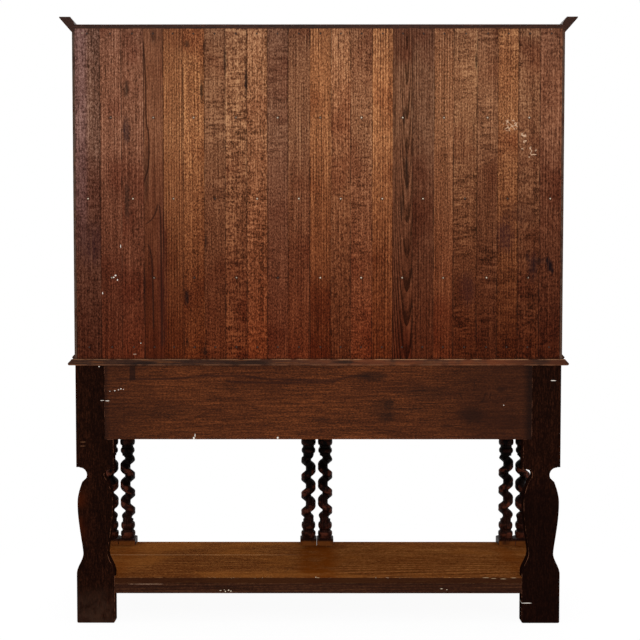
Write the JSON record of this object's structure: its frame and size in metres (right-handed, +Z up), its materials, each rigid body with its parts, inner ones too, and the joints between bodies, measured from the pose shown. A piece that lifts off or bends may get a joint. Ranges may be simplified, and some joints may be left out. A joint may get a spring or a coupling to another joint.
{
  "type": "kitchen dresser",
  "caption": "Oak dresser: boarded plate rack with open shelves and a cornice, drawers with swinging pulls, a table on barley-twist posts, and a pot board near the floor.",
  "frame": {"origin": "on the floor, under the middle of the table and halfway between its front and back edges", "axes": "+Z up, the front with the drawers faces -Y, the back boards face +Y, +X to the right as seen from the front"},
  "size_m": [1.655, 0.48, 1.957],
  "materials": {
    "board_oak": "old unvarnished reddish-brown oak, dry and dusty",
    "frame_oak": "oak stained nearly black, dull wax",
    "twist_oak": "oak stained nearly black and waxed to a soft shine",
    "shelf_oak": "stained brown oak, worn wax",
    "drawer_oak": "plain unfinished oak",
    "brass": "aged brass, rubbed bright on the bails",
    "nail_iron": "oxidised iron nail heads, a few rubbed bright"
  },
  "bodies": {
    "carcass": {"rear_leg_left": "frame_oak", "rear_leg_right": "frame_oak", "post_left_outer": "twist_oak", "post_left_inner": "twist_oak", "post_centre_left": "twist_oak", "post_centre_right": "twist_oak", "post_right_inner": "twist_oak", "post_right_outer": "twist_oak", "pot_board": "shelf_oak", "pot_rail_back": "frame_oak", "pot_rail_front_left": "frame_oak", "pot_rail_front_right": "frame_oak", "pot_rail_end_left": "frame_oak", "pot_rail_end_right": "frame_oak", "pot_bearer": "frame_oak", "back_rail": "shelf_oak", "end_panel_left": "frame_oak", "end_panel_right": "frame_oak", "top_rail_left": "frame_oak", "top_rail_right": "frame_oak", "apron_rail_left": "frame_oak", "apron_rail_right": "frame_oak", "runner_left": "drawer_oak", "runner_centre": "drawer_oak", "runner_right": "drawer_oak", "kickers": "drawer_oak", "table_top": "frame_oak", "rack_side_left": "frame_oak", "rack_side_right": "frame_oak", "rack_top": "frame_oak", "shelf_low": "shelf_oak", "shelf_middle": "shelf_oak", "shelf_high": "shelf_oak", "nail_rails": "shelf_oak", "rack_frieze": "frame_oak", "cornice_front": "frame_oak", "cornice_left": "frame_oak", "cornice_right": "frame_oak", "rack_foot_mouldings": "frame_oak", "rack_dowels": "drawer_oak", "back_boards": "board_oak", "board_nails": "nail_iron"},
    "left_drawer": {"left_drawer_front": "shelf_oak", "left_drawer_side_a": "drawer_oak", "left_drawer_side_b": "drawer_oak", "left_drawer_back": "drawer_oak", "left_drawer_bottom": "drawer_oak", "left_drawer_beads": "frame_oak", "left_drawer_pull_posts": "brass"},
    "right_drawer": {"right_drawer_front": "shelf_oak", "right_drawer_side_a": "drawer_oak", "right_drawer_side_b": "drawer_oak", "right_drawer_back": "drawer_oak", "right_drawer_bottom": "drawer_oak", "right_drawer_beads": "frame_oak", "right_drawer_pull_posts": "brass"},
    "left_pull_a": {"left_drawer_pull_a": "brass"},
    "left_pull_b": {"left_drawer_pull_b": "brass"},
    "right_pull_a": {"right_drawer_pull_a": "brass"},
    "right_pull_b": {"right_drawer_pull_b": "brass"}
  },
  "joints": [
    {"name": "left_drawer_slide", "type": "slide", "parent": "carcass", "child": "left_drawer", "axis": [0, -1, 0], "range_m": [0, 0.3]},
    {"name": "right_drawer_slide", "type": "slide", "parent": "carcass", "child": "right_drawer", "axis": [0, -1, 0], "range_m": [0, 0.3]},
    {"name": "left_pull_a_swing", "type": "hinge", "parent": "left_drawer", "child": "left_pull_a", "pos_m": [-0.50787, -0.22, 0.75545], "axis": [-1, 0, 0], "range_deg": [-15, 110]},
    {"name": "left_pull_b_swing", "type": "hinge", "parent": "left_drawer", "child": "left_pull_b", "pos_m": [-0.21663, -0.22, 0.75545], "axis": [-1, 0, 0], "range_deg": [-15, 110]},
    {"name": "right_pull_a_swing", "type": "hinge", "parent": "right_drawer", "child": "right_pull_a", "pos_m": [0.21663, -0.22, 0.75545], "axis": [-1, 0, 0], "range_deg": [-15, 110]},
    {"name": "right_pull_b_swing", "type": "hinge", "parent": "right_drawer", "child": "right_pull_b", "pos_m": [0.50787, -0.22, 0.75545], "axis": [-1, 0, 0], "range_deg": [-15, 110]}
  ]
}
